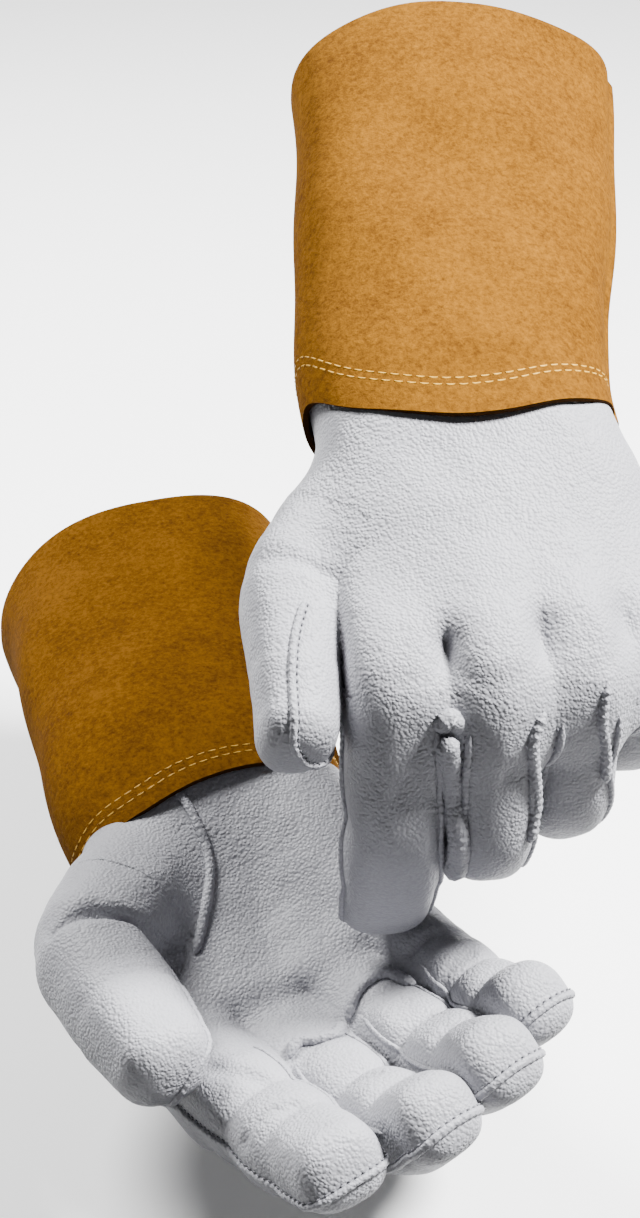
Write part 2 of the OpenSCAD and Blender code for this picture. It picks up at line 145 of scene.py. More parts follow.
def turn_y(degrees):
    """The matrix that turns about Y."""
    c, s = np.cos(np.radians(degrees)), np.sin(np.radians(degrees))
    return np.array([[c, 0, s], [0, 1, 0], [-s, 0, c]])


def turn_z(degrees):
    """The matrix that turns about Z."""
    c, s = np.cos(np.radians(degrees)), np.sin(np.radians(degrees))
    return np.array([[c, -s, 0], [s, c, 0], [0, 0, 1]])


def turned(glove, v):
    """A glove's own directions in the shared frame: mirrored for the right glove, then turned X, Y, Z."""
    x, y, z = glove["turn"]
    return (np.asarray(v) * (glove["mirror"], 1, 1)) @ (turn_z(z) @ turn_y(y) @ turn_x(x)).T


def placed(glove, p):
    """A glove's own points, in millimetres, in the shared frame, in metres."""
    return (turned(glove, p) + glove["at"]) / 1000


def smooth(u):
    """Eases from 0 to 1 as u goes from 0 to 1: 3u^2 - 2u^3."""
    v = np.clip(u, 0, 1)
    return v * v * (3 - 2 * v)


def mix(a, b, u):
    """The value a share u of the way from a to b."""
    return a + (b - a) * u


def hill(x, middle, width):
    """A bell: 1 at the middle, falling off over the width as exp(-((x - middle) / width)^2)."""
    return np.exp(-(((x - middle) / width) ** 2))


def arched(x, z, share):
    """Bends a section of the hand round the arch of the knuckles: x runs round a circle of radius R / share
    whose crown is at ARCH_CROWN, and z stands off it."""
    r = ARCH_RADIUS / np.maximum(share, 1e-3)
    a = (x - ARCH_CROWN) / r
    return ARCH_CROWN + (r + z) * np.sin(a), (r + z) * np.cos(a) - r


def unarched(x, z, share):
    """The inverse of arched."""
    r = ARCH_RADIUS / np.maximum(share, 1e-3)
    return ARCH_CROWN + r * np.arctan2(x - ARCH_CROWN, z + r), np.hypot(x - ARCH_CROWN, z + r) - r


def bent_line(start, length, bends, n=140):
    """Walks a line in a plane from s=start to s=length, turning down by each bend (middle, run, degrees);
    it is shifted so that past its first bend it lies on the straight line that leaves s=0 at that bend."""
    s = np.linspace(start, length, n)

    def angle(s):
        return np.radians(sum(a * smooth((s - b) / run + 0.5) for b, run, a in bends))

    mid = angle((s[1:] + s[:-1]) / 2)
    p = np.vstack([[0, 0], np.cumsum(np.diff(s)[:, None] * np.stack([np.cos(mid), -np.sin(mid)], 1), 0)])
    b, run, a = bends[0]
    i = np.argmin(np.abs(s - (b + run / 2)))
    first = np.radians(a)
    p += s[i] * np.array([np.cos(first), -np.sin(first)]) - p[i]
    return s, p, angle(s)


KNUCKLES = np.array([[39.5, 92, 0], [12.5, 97, 0], [-13.5, 94, 0], [-38, 86, 0.0]])
KNUCKLES[:, 0], KNUCKLES[:, 2] = arched(KNUCKLES[:, 0], 0.0, 1.0)


def finger_line(glove, f):
    """A finger's middle line in the glove: points, directions along, across to the thumb side and up to the back,
    with half sizes that swell between the joints and pinch in at the creases on the front."""
    length = glove["lengths"][f]
    base, curl, e = glove["bend"][f], glove["curl"][f], np.radians(glove["lean"][f])
    joint = glove["joint"][f]
    bends = ((0, 26, base), (joint * length, 20, curl), (0.74 * length, 18, 0.6 * curl))
    s, p, a = bent_line(ROOT_START, length - 10, bends)
    ahead, across = np.array([np.sin(e), np.cos(e), 0]), np.array([np.cos(e), -np.sin(e), 0])
    up = np.array([0, 0, 1.0])
    w, d = FINGER_HALVES[f]
    u = s / length
    pinch = 0.05 * hill(u, joint, 0.05) + 0.05 * hill(u, 0.74, 0.04)
    fall = np.interp(u, [-0.3, 0, 0.6, 0.9], [0.94, 1.0, 1.0, 0.93])
    fold = 1.2 * hill(s, 0.22 * length, 3.4) + 2.0 * hill(s, joint * length, 3.6) + 1.5 * hill(s, 0.70 * length, 3.2)
    swell = 0.8 * hill(u, 0.33, 0.1) + 0.9 * hill(u, 0.59, 0.1) + 1.3 * hill(u, 0.86, 0.1)
    return dict(
        s=s, tip=10.5, power=2.5,
        points=KNUCKLES[f] + p[:, :1] * ahead + p[:, 1:] * up,
        along=np.cos(a)[:, None] * ahead - np.sin(a)[:, None] * up,
        across=np.tile(across, (len(s), 1)),
        up=np.sin(a)[:, None] * ahead + np.cos(a)[:, None] * up,
        half=w * fall * (1 - pinch),
        outer=(glove["index_side"] if f == 0 else w) * fall * (1 - pinch),
        back=d * fall * np.interp(u, [-0.3, 0, 0.3, 0.6, 0.9], [1.0, 1.04, 1.0, 0.95, 0.8]),
        front=d * fall * np.interp(u, [-0.3, 0, 0.5, 0.9], [0.9, 1.0, 1.0, 0.92]) + swell - fold,
    )


def thumb_line(glove):
    """The thumb's middle line; it curls in the plane of its swing, towards the fingers, and narrows from its ball."""
    swing, drop, first, second = glove["thumb"]
    x, y, z = (turn_z(-swing) @ turn_x(-drop)).T
    length = glove["thumb_length"]
    bends = ((0, 10, 0), (31, 24, first), (62.5, 22, second))
    s, p, a = bent_line(ROOT_START, length - 11, bends)
    radius = np.interp(s, [-26, -8, 6, 22, 40, 62, 81], [17, 21.5, 22, 20, 17.8, 17.2, 15.0])
    outer, inner = (radius * mix(0.97, share, smooth((s - 12) / 66)) for share in glove["thumb_breadth"])
    fold = 3.2 * hill(s, 31, 3.0) + 1.0 * hill(s, 60, 2.6)
    return dict(
        s=s, tip=12.0, power=2.3,
        points=np.array(THUMB_ROOT) + p[:, :1] * y + p[:, 1:] * x,
        along=np.cos(a)[:, None] * y - np.sin(a)[:, None] * x,
        across=np.sin(a)[:, None] * y + np.cos(a)[:, None] * x,
        up=np.tile(z, (len(s), 1)),
        half=inner - 0.3 * fold, outer=outer - 0.3 * fold,
        back=0.96 * radius - 0.3 * fold, front=0.98 * radius - fold,
    )


def tube_depth(p, line):
    """Distance of points from a stall's wall, negative inside. The nearest station gives the section, whose outline
    is (x/w)^n + (z/d)^n = 1; past the last station the end is rounded over the length of the tip."""
    c = line["points"]
    i = np.argmin((c * c).sum(1) - 2 * p @ c.T, 1)
    d = p - c[i]
    x, z, y = ((d * line[k][i]).sum(1) for k in ("across", "up", "along"))
    over = np.where(i == len(c) - 1, np.maximum(0, y), 0)
    under = np.where(i == 0, np.maximum(0, -y), 0)
    w = np.where(x > 0, line["outer"][i], line["half"][i])
    h = np.where(z > 0, line["back"][i], line["front"][i])
    n = line["power"]
    r = (np.abs(x / w) ** n + np.abs(z / h) ** n + (over / line["tip"] + under / 12) ** n) ** (1 / n)
    reach = np.sqrt(x * x + z * z + over**2 + under**2)
    return np.where(r < 1e-3, -h, reach * (1 - 1 / np.maximum(r, 1e-3)))


def joined(a, b, k):
    """The smooth union of two distances: the smaller, filled round the corner over about k."""
    h = np.clip(0.5 + 0.5 * (b - a) / k, 0, 1)
    return mix(b, a, h) - k * h * (1 - h)


def hand_half_sizes(y):
    """Half breadth, height of the back, depth of the palm and share of the arch at length y from the wrist."""
    u = np.clip((y + 4) / 95, 0, 1)
    return (
        mix(45, 52, smooth(1.6 * u)) - 2 * smooth((y - 75) / 30),
        mix(28, 14.5, smooth(u)),
        mix(28, 15.5, smooth(u)),
        smooth(u),
    )


def body_depth(p):
    """Distance from the hand without fingers: rounded sections, deep at the wrist and wide and arched at the
    knuckles, with a hollow in the palm, a pad along the little-finger side and pads below the fingers."""
    x, y, z = p.T
    w, back, palm, share = hand_half_sizes(y)
    x, z = unarched(x, z, share)
    h = np.where(z > 0, back, palm)
    r = (np.abs(x / w) ** 2.5 + np.abs(z / h) ** 2.5) ** (1 / 2.5)
    side = np.where(r < 1e-3, -h, np.hypot(x, z) * (1 - 1 / np.maximum(r, 1e-3)))
    form = 4.5 * hill(x, 2, 19) * hill(y, 52, 27) - 3.5 * hill(x, -33, 16) * hill(y, 40, 30)
    form += -1.6 * (hill(x, 25, 9) + hill(x, -2, 8) + hill(x, -26, 8)) * hill(y, 80, 9)
    return -joined(-(side + form * smooth((-z - 2) / 8)), -(y - (88 - 0.0045 * (x - 8) ** 2)), 9)


def lumps(p, size, seed):
    """Smooth random values from -1 to 1: seeded values on a lattice of that size, eased between its corners."""
    table = np.random.default_rng(seed).uniform(-1, 1, (32, 32, 32))
    q = p / size
    i = np.floor(q).astype(int)
    t = smooth(q - i)
    out = 0.0
    for corner in np.ndindex(2, 2, 2):
        weight = np.prod(np.where(corner, t, 1 - t), 1)
        out = out + weight * table[tuple(((i + corner) % 32).T)]
    return out


def on_stall(line, stations, angles):
    """Points near a stall's wall at lengths along it and angles round it, 0 on the thumb side and 90 on the back; past
    the last station they go on round the tip."""
    s, a = np.asarray(stations, float), np.radians(np.asarray(angles, float))
    i = np.argmin(np.abs(line["s"] - s[:, None]), 1)
    x, z = np.cos(a), np.sin(a)
    w = np.where(x > 0, line["outer"][i], line["half"][i])
    h = np.where(z > 0, line["back"][i], line["front"][i])
    over = np.clip((s - line["s"][-1]) / line["tip"], 0, 1)
    round_off = np.sqrt(1 - over**2)
    side = (x * w * round_off)[:, None] * line["across"][i] + (z * h * round_off)[:, None] * line["up"][i]
    return line["points"][i] + side + (over * line["tip"])[:, None] * line["along"][i]


def even(path, step):
    """A path through the given points, rounded by cubic pieces and cut into even steps."""
    p = np.vstack([2 * path[0] - path[1], path, 2 * path[-1] - path[-2]])
    t = np.linspace(0, 1, 24, endpoint=False)[:, None]
    runs = []
    for a, b, c, d in zip(p[:-3], p[1:-2], p[2:-1], p[3:]):
        runs.append(0.5 * (2 * b + (c - a) * t + (2 * a - 5 * b + 4 * c - d) * t**2 + (3 * b - a - 3 * c + d) * t**3))
    fine = np.vstack(runs + [path[-1:]])
    length = np.concatenate([[0], np.cumsum(np.linalg.norm(np.diff(fine, axis=0), axis=1))])
    at = np.linspace(0, length[-1], max(3, int(length[-1] / step)))
    return np.stack([np.interp(at, length, fine[:, k]) for k in range(3)], 1)


# Creases of the worn leather: the stall they lie on, lengths along it, angles round it, their width and depth
CREASES = (
    (4, (33, 32, 31, 30, 27, 21, 16), (-40, -68, -95, -118, -138, -160, -176), 2.2, 3.0),
    (4, (24, 31, 39), (-172, -160, -150), 2.0, 2.4),
    (3, (12, 12, 13), (-50, -72, -101), 2.0, 1.5),
    (3, (30, 28, 28), (-44, -76, -103), 2.0, 1.5),
    (0, (20, 31, 42), (-70, -78, -96), 2.4, 1.3),
    (0, (58, 60, 64), (-30, -62, -92), 1.8, 1.3),
    (1, (47, 52, 60), (-50, -72, -96), 1.8, 1.4),
    (2, (44, 45, 50), (-52, -84, -112), 1.8, 1.4),
)
VOXEL = 1.0
WEB_STATION, WEB_REACH, WEB_BACK, WEB_FRONT = 12, 17.0, 14.6, 9.5
FINGER_BEND, THUMB_BEND = (18, 46), (36, 62)
PARTS = (*FINGERS, "thumb", "hand")


def hand_skin(glove):
    """The outside of a glove's hand as fields of distances on a grid of voxels, one for each stall joined smoothly
    to the hand and last the smallest of them all, with creases and the leather's own unevenness added."""
    lines = [finger_line(glove, f) for f in range(4)]
    thumb = thumb_line(glove)
    ends = np.vstack([l["points"] for l in lines] + [thumb["points"], [[-56, -24, -34], [58, 90, 34]]])
    low, high = ends.min(0) - 24, ends.max(0) + 24
    low[1] = -7
    count = np.ceil((high - low) / VOXEL).astype(int)
    axes = [low[k] + VOXEL * np.arange(count[k]) for k in range(3)]

    def sampled(points, margin, depth):
        """A field that holds the distances near the points, and is far everywhere else."""
        lo = np.maximum(np.floor((points.min(0) - margin - low) / VOXEL).astype(int), 0)
        hi = np.minimum(np.ceil((points.max(0) + margin - low) / VOXEL).astype(int), count)
        where = tuple(slice(a, b) for a, b in zip(lo, hi))
        grid = np.stack(np.meshgrid(*[axes[k][where[k]] for k in range(3)], indexing="ij"), -1)
        flat = np.array_split(grid.reshape(-1, 3), 1 + grid.size // 600000)
        out = np.full(count, 30.0, np.float32)
        out[where] = np.concatenate([depth(g) for g in flat]).reshape(grid.shape[:3])
        return out

    def creased(field, path, width, depth):
        """Presses a groove into a field: deeper by depth * exp(-(distance from the path / width)^2)."""
        path = even(path, 1.0)
        lo = np.maximum(np.floor((path.min(0) - 7 - low) / VOXEL).astype(int), 0)
        hi = np.minimum(np.ceil((path.max(0) + 7 - low) / VOXEL).astype(int), count)
        where = tuple(slice(a, b) for a, b in zip(lo, hi))
        grid = np.stack(np.meshgrid(*[axes[k][where[k]] for k in range(3)], indexing="ij"), -1).reshape(-1, 3)
        far2 = (grid * grid).sum(1) + np.min((path * path).sum(1) - 2 * grid @ path.T, 1)
        field[where] += (depth * np.exp(-np.maximum(far2, 0) / width**2)).reshape(field[where].shape)

    hand = sampled(np.array([[-56, -30, -34], [58, 96, 34]]), 8, body_depth)
    for a, b in zip(lines[:-1], lines[1:]):
        i = np.argmin(np.abs(a["s"] - WEB_STATION))
        web = dict(points=mix(a["points"][i], b["points"][i], np.linspace(0, 1, 20)[:, None]), tip=4, power=2.5)
        run = b["points"][i] - a["points"][i]
        for name, v in (("across", a["along"][i] + b["along"][i]), ("up", a["up"][i] + b["up"][i]), ("along", run)):
            web[name] = np.tile(v / np.linalg.norm(v), (20, 1))
        web["half"] = web["outer"] = np.full(20, WEB_REACH)
        web["back"], web["front"] = np.full(20, WEB_BACK), np.full(20, WEB_FRONT)
        hand = joined(hand, sampled(web["points"], 20, lambda p: tube_depth(p, web)), 8)
    stalls = lines + [thumb]
    fields = [
        joined(hand, sampled(line["points"], 30, lambda p: tube_depth(p, line)), fillet)
        for line, fillet in zip(stalls, (6, 6, 6, 6, 9))
    ]
    for k, stations, angles, width, depth in CREASES:
        for field in fields if k == 4 else fields[k : k + 1]:
            creased(field, on_stall(stalls[k], stations, angles), width, depth)
    fields.append(np.minimum.reduce(fields))
    for field in fields:
        near = np.argwhere(np.abs(field) < 4)
        p = low + VOXEL * near
        field[tuple(near.T)] += 0.55 * lumps(p, 17, 1) + 0.3 * lumps(p, 8, 2) + 0.06 * lumps(p, 3.5, 3)
    return dict(fields=fields, low=low, stalls=stalls)


def depth_at(skin, p, k=5):
    """The distance at any points, straight between the voxels, from stall k with the hand, or from all for k = 5."""
    field = skin["fields"][k]
    q = np.clip((p - skin["low"]) / VOXEL, 0, np.array(field.shape) - 1.001)
    i = q.astype(int)
    t = q - i
    out = 0.0
    for corner in np.ndindex(2, 2, 2):
        out = out + np.prod(np.where(corner, t, 1 - t), 1) * field[tuple((i + corner).T)]
    return out


def slope_at(skin, p, k=5, step=1.2):
    """The direction in which the distance grows: the difference over a small step along each axis, made one long."""
    g = np.stack([depth_at(skin, p + step * e, k) - depth_at(skin, p - step * e, k) for e in np.eye(3)], 1)
    return g / np.maximum(np.linalg.norm(g, axis=1), 1e-6)[:, None]


def settled(skin, p, k=5, steps=10):
    """Moves points onto the skin along its slope, and gives the outward directions there."""
    for _ in range(steps):
        p = p - 0.9 * np.clip(depth_at(skin, p, k), -3, 3)[:, None] * slope_at(skin, p, k)
    return p, slope_at(skin, p, k)


def stations_of(line, p):
    """The number of the station on a stall's middle line nearest to each point."""
    return np.argmin((line["points"] ** 2).sum(1) - 2 * p @ line["points"].T, 1)


def surface(skin, k):
    """The points and quads of the skin of stall k with the hand, or of all for k = 5, open at the wrist."""
    grid = openvdb.FloatGrid(30.0)
    grid.copyFromArray(skin["fields"][k])
    points, quads = (np.asarray(v) for v in grid.convertToQuads(0.0))
    points = points * VOXEL + skin["low"]
    ends = (points[quads][:, :, 1] < skin["low"][1] + 1.2 * VOXEL).all(1)
    return points, quads[~ends]


def part_of(skin, k, points, quads):
    """Which quads belong to part k: a stall from a little past its root, or the rest of the hand. A point goes with
    the stall whose skin it lies on, and one that lies inside a neighbour stays with its own stall."""
    depths = np.array([
        np.where(line["s"][stations_of(line, points)] > cut, tube_depth(points, line), 99)
        for line, cut in zip(skin["stalls"], (4, 4, 4, 4, 9))
    ])
    skins = np.array([depth_at(skin, points, j) for j in range(5)])
    owner = (skins + 0.02 * np.minimum(depths, 20)).argmin(0)
    if k < 5:
        hidden = np.delete(skins, k, 0).min(0) < -0.15
        mine = (depths[k] < 6) & ((owner == k) | hidden)
        return mine[quads].sum(1) >= 2
    label = np.where(depths[owner, np.arange(len(points))] < 6, owner, 5)
    return ~np.any([(label == j)[quads].sum(1) >= 2 for j in range(5)], axis=0)


def meshed(name, points, faces, material, normals=None, **values):
    """A new mesh object from points in metres and faces of equal size, with shading directions and named values
    kept on its points."""
    mesh = bpy.data.meshes.new(name)
    mesh.from_pydata(points.tolist(), [], faces.tolist())
    mesh.polygons.foreach_set("use_smooth", np.ones(len(mesh.polygons), bool))
    for key, value in values.items():
        mesh.attributes.new(key, "FLOAT", "POINT").data.foreach_set("value", np.asarray(value, np.float32))
    mesh.update()
    if normals is not None:
        mesh.normals_split_custom_set_from_vertices(normals.tolist())
    mesh.materials.append(material)
    piece = bpy.data.objects.new(name, mesh)
    bpy.context.collection.objects.link(piece)
    return piece


class Socket:
    """A shader socket that adds Math nodes for + and *, and any other node through one method."""

    def __init__(self, tree, socket):
        self.tree, self.socket = tree, socket

    def node(self, kind, settings=None, output=0, **inputs):
        """A new node of that kind: its settings first, then values or links for its sockets by name or number."""
        node = self.tree.nodes.new(kind)
        for key, value in (settings or {}).items():
            setattr(node, key, value)
        for key, value in inputs.items():
            socket = node.inputs[int(key[1:]) if key[0] == "i" and key[1:].isdigit() else key.replace("_", " ")]
            if isinstance(value, Socket):
                self.tree.links.new(value.socket, socket)
            else:
                socket.default_value = value
        return Socket(self.tree, node.outputs[output])

    def __add__(self, other):
        return self.node("ShaderNodeMath", {"operation": "ADD"}, i0=self, i1=other)

    def __mul__(self, other):
        return self.node("ShaderNodeMath", {"operation": "MULTIPLY"}, i0=self, i1=other)

    __radd__, __rmul__ = __add__, __mul__

    def between(self, low, high):
        """0 below low and 1 above high, straight between."""
        return self.node("ShaderNodeMapRange", i0=self, i1=low, i2=high)

    def blend(self, a, b):
        """The colour a where the socket is 0 and b where it is 1."""
        return self.node("ShaderNodeMix", {"data_type": "RGBA"}, 2, i0=self, i6=a, i7=b)


def finish_material(name, roughness, **constants):
    """A new material with its shader, the shader's constants set on its sockets, and a socket to start from."""
    material = bpy.data.materials.new(name)
    material.use_nodes = True
    tree = material.node_tree
    shader = tree.nodes["Principled BSDF"]
    shader.inputs["Roughness"].default_value = roughness
    for key, value in constants.items():
        shader.inputs[key.replace("_", " ")].default_value = value
    place = Socket(tree, tree.nodes.new("ShaderNodeTexCoord").outputs["Object"])

    def feed(**links):
        for key, value in links.items():
            tree.links.new(value.socket, shader.inputs[key.replace("_", " ")])

    return material, place, feed


def leather(name, tint, shade):
    """Pebbled grain leather: cells about 0.9 mm across with creases between them, run together in places by a
    coarser wave, a little colour drift, and painted shade in folds and seams, where the leather is darker and matter."""
    material, place, feed = finish_material(name, 0.5, Specular_IOR_Level=0.35)
    warp = place.node("ShaderNodeTexNoise", {}, 1, Vector=place, Scale=420.0, Detail=2.0)
    bent = place.node(
        "ShaderNodeVectorMath", {"operation": "MULTIPLY_ADD"}, i0=warp, i1=(0.0008, 0.0008, 0.0008), i2=place
    )
    cells = place.node("ShaderNodeTexVoronoi", {"feature": "SMOOTH_F1"}, Vector=bent, Scale=1000.0, Smoothness=0.5)
    wave = place.node("ShaderNodeTexNoise", Vector=place, Scale=520.0, Detail=3.0)
    drift = place.node("ShaderNodeTexNoise", Vector=place, Scale=28.0, Detail=3.0)
    fold = place.node("ShaderNodeAttribute", {"attribute_name": "fold"}, 2)
    colour = drift.between(0.35, 0.7).blend(tint, tuple(0.93 * c for c in tint[:3]) + (1,))
    # the grain's cell creases and the painted shade of the fold value both darken the colour towards shade
    colour = (cells.between(0.45, 0.9) * 0.16 + fold.between(0.1, 1.0)).between(0, 1).blend(colour, shade)
    height = cells * -1.0 + wave * 0.2
    bump = place.node("ShaderNodeBump", Strength=0.6, Distance=0.0007, Height=height)
    feed(Base_Color=colour, Normal=bump, Roughness=0.42 + 0.22 * wave + 0.15 * fold)
    return material


hand_leather = leather("white_grain_leather", (0.34, 0.34, 0.365, 1), (0.10, 0.096, 0.108, 1))


def moved(glove, side, piece, k):
    """Makes a piece go with the glove for the hand, k = 5; a stall's piece, k below 5, only has its place baked into
    its points.
    """
    if k > 4:
        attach(piece, side + "_glove")
        return
    line = glove["skin"]["stalls"][k]
    start, end = (np.argmin(np.abs(line["s"] - v)) for v in (FINGER_BEND if k < 4 else THUMB_BEND))
    tuple(placed(glove, line["points"][start]))
    tuple(placed(glove, line["points"][end]))
    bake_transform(piece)


for side, glove in GLOVES.items():
    skin = glove["skin"] = hand_skin(glove)
    for k, part in enumerate(PARTS):
        points, quads = surface(skin, k)
        slope = slope_at(skin, points, k)
        mine = part_of(skin, k, points, quads)
        shown = np.bincount(quads[mine].ravel(), minlength=len(points)) > 0
        # each part's leather goes on a little way under its neighbour's, as it does at a sewn edge
        for _ in range(2):
            mine = (np.bincount(quads[mine].ravel(), minlength=len(points)) > 0)[quads].any(1)
        quads = quads[mine]
        points = points - 0.4 * slope * ~shown[:, None]
        # folds: places where a point a little way out is nearer other leather than it should be; the leather is
        # painted darker there as shade
        fold = np.clip((2.6 - depth_at(skin, points + 3.0 * slope, k)) / 2.6, 0, 1)
        used, faces = np.unique(quads, return_inverse=True)
        faces = faces.reshape(-1, 4)[:, :: glove["mirror"]]
        piece = meshed(
            f"{side}_{part}_leather", placed(glove, points[used]), faces, hand_leather,
            turned(glove, slope[used]), fold=fold[used],
        )
        moved(glove, side, piece, k)
        stitched = [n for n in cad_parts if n.startswith(f"{side}_{part}_")]
        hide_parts(*stitched, *([side + "_outseam_welt", side + "_palm_welt"] if k == 5 else []))

# The cuffs: each is one piece of suede wrapped round the wrist and lapped over itself down the little-finger side,
# with raw cut edges. It bends with the wrist, and its edge lies over the hand.
WRIST, CUFF_LENGTH = (95, 61), 162
SUEDE_THICKNESS, HEM_THICKNESS = 1.8, 1.6


def cuff_points(glove, s, a, out):
    """Points of a cuff at lengths s from its wrist edge and angles a round it, standing out from its plain form, an
    oval that widens to the mouth and is carried along the wrist's bend."""
    fine = np.linspace(-2, 166, 337)
    u = smooth(fine / 40)
    up, sideways = glove["cuff"]
    ways = np.array([turn_z(sideways * v) @ turn_x(up * v) for v in u])
    steps = -0.5 * (ways[1:, :, 1] + ways[:-1, :, 1]) / 2
    middles = np.vstack([[0, 0, 0], np.cumsum(steps, 0)])
    middles += np.array([0, 12, 0]) - middles[4]
    i = np.clip(np.rint((s + 2) * 2).astype(int), 0, len(fine) - 1)
    w, d = (mix(a, b, s / CUFF_LENGTH) / 2 + out for a, b in zip(WRIST, glove["mouth"]))
    c, k = np.cos(np.radians(a)), np.sin(np.radians(a))
    across, up = w * np.sign(c) * np.abs(c) ** 0.86, d * np.sign(k) * np.abs(k) ** 0.86
    off = (s - fine[i])[..., None] * -ways[i][..., 1]
    return middles[i] + off + across[..., None] * ways[i][..., 0] + up[..., None] * ways[i][..., 2]


def cuff_wave(glove, s, a):
    """How far the suede stands out from the cuff's plain form: long soft waves that grow towards the mouth, drawn in
    a little where its edge lies on the left hand's back."""
    r = np.radians(a)
    wave = 1.5 * np.sin(2 * r + 0.6) + 1.0 * np.sin(3 * r - s / 38 + glove["mirror"]) + 0.6 * np.sin(5 * r + s / 24)
    drawn = 1.5 * (glove["mirror"] > 0) * hill(a, 90, 60) * (1 - smooth((s + 11) / 30))
    return wave * mix(0.15, 1.0, smooth(s / 120)) + 0.5 * np.sin(s / 11 + 2 * r) * smooth(s / 60) - drawn


def slab(outside, inside):
    """A sheet as a closed solid between two grids of points: both faces, and four edges with their own points. Gives
    the points, the quads and a value that is 1 on the cut edges."""
    n, m = outside.shape[:2]
    number = np.arange(n * m).reshape(n, m)

    def quads(grid):
        return np.stack([grid[:-1, :-1], grid[:-1, 1:], grid[1:, 1:], grid[1:, :-1]], -1).reshape(-1, 4)

    points = [outside.reshape(-1, 3), inside.reshape(-1, 3)]
    faces = [quads(number), quads(number)[:, ::-1] + n * m]
    start = 2 * n * m
    for way, cut in ((1, np.s_[0, :]), (-1, np.s_[-1, :]), (-1, np.s_[:, 0]), (1, np.s_[:, -1])):
        edge = np.stack([inside[cut], mix(inside[cut], outside[cut], 0.5), outside[cut]])
        rim = np.arange(edge.shape[0] * edge.shape[1]).reshape(edge.shape[:2]) + start
        points.append(edge.reshape(-1, 3))
        faces.append(quads(rim)[:, ::way])
        start += rim.size
    points = np.vstack(points)
    return points, np.vstack(faces), (np.arange(len(points)) >= 2 * n * m).astype(float)


def suede(name, deep, light, edge):
    """Napped split leather: short nap as fine grain, brushed patches of lighter and darker gold, pale specks where the
    nap stands up, darker cut edges."""
    material, place, feed = finish_material(name, 0.95, Specular_IOR_Level=0.05)
    patches = place.node("ShaderNodeTexNoise", Vector=place, Scale=42.0, Detail=5.0, Roughness=0.62)
    nap = place.node("ShaderNodeTexNoise", Vector=place, Scale=1150.0, Detail=4.0, Roughness=0.75)
    clumps = place.node("ShaderNodeTexNoise", Vector=place, Scale=480.0, Detail=3.0)
    cut = place.node("ShaderNodeAttribute", {"attribute_name": "cut"}, 2)
    shade = (patches * 0.55 + nap * 0.9 + clumps * 0.75).between(0.78, 1.42)
    colour = cut.blend(shade.blend(deep, light), edge)
    bump = place.node("ShaderNodeBump", Strength=0.55, Distance=0.0006, Height=nap + 0.8 * clumps)
    feed(Base_Color=colour, Normal=bump)
    return material


gold_suede = suede("gold_suede", (0.060, 0.021, 0.002, 1), (0.20, 0.082, 0.005, 1), (0.035, 0.013, 0.001, 1))
for side, glove in GLOVES.items():
    n, m = ((96, 220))
    a = np.linspace(176, 544, m)
    glove["edge"] = lambda a, left=side == "left": (
        1.2 * np.sin(np.radians(3 * a)) + 0.5 * np.sin(np.radians(7 * a))
        + left * (15 * hill(a, 360, 50) - 11 * hill(a, 450, 72))
    )
    glove["rim"] = lambda a, drop=17.0 if side == "left" else 14.0: (
        162.5 + 0.8 * np.sin(np.radians(2 * a)) - drop * hill(a, 360, 58)
    )
    s = mix(glove["edge"](a), glove["rim"](a), np.linspace(0, 1, n)[:, None])
    a = np.broadcast_to(a, s.shape)
    out = cuff_wave(glove, s, a % 360) + 2.1 * smooth((a - 535) / 5)
    points, faces, cut = slab(cuff_points(glove, s, a, out), cuff_points(glove, s, a, out - SUEDE_THICKNESS))
    piece = meshed(side + "_cuff_suede", placed(glove, points), faces[:, :: -glove["mirror"]], gold_suede, cut=cut)
    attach(piece, side + "_glove")
    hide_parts(side + "_cuff")

    # the hem turned inside the mouth, and the strip behind the lap
    for name, width, a0, a1, count in (("hem", 14, 190, 530, 160), ("seam_strip", 140, 170, 186, 9)):
        a = np.linspace(a0, a1, count)
        s = glove["rim"](a + 360 * (a1 < 300)) - 0.6 - width * np.linspace(1, 0, 40)[:, None]
        a = np.broadcast_to(a, s.shape)
        out = cuff_wave(glove, s, a % 360) - 2.2 - (0.0 if name == "hem" else 1.7 * smooth((s - 142) / 5))
        points, faces, cut = slab(cuff_points(glove, s, a, out), cuff_points(glove, s, a, out - HEM_THICKNESS))
        faces = faces[:, :: -glove["mirror"]]
        piece = meshed(f"{side}_cuff_{name}_suede", placed(glove, points), faces, gold_suede, cut=cut)
        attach(piece, side + "_glove")
        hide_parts(f"{side}_cuff_{name}")

# The seams: raised, puckered welts where the panels meet. A fourchette has a seam on each of its edges, the back and
# front of a finger meet round its tip, the thumb is set in round its ball, and one seam runs up the index side.
def tube(path, up, radius, sides=8, flat=1.0):
    """Rings of points carried along a path: each ring lies across the path, as wide as the radius there and flatter
    by the given share upwards; the ends are left open. Gives points and quads."""
    along = np.gradient(path, axis=0)
    along /= np.linalg.norm(along, axis=1)[:, None]
    across = np.cross(along, up)
    across /= np.maximum(np.linalg.norm(across, axis=1), 1e-6)[:, None]
    lift = np.cross(across, along)
    t = np.linspace(0, 2 * np.pi, sides, endpoint=False)
    ring = np.cos(t)[:, None] * across[:, None] + flat * np.sin(t)[:, None] * lift[:, None]
    points = path[:, None] + radius[:, None, None] * ring
    number = np.arange(points.shape[0] * sides).reshape(-1, sides)
    after = np.roll(number, -1, 1)
    quads = np.stack([number[:-1], after[:-1], after[1:], number[1:]], -1).reshape(-1, 4)
    return points.reshape(-1, 3), quads


STITCH = 2.4
WELT_STEP, STITCH_STEP = 0.55, 0.3
BENT_BACK_UP = (0, 0.936, 0.351)


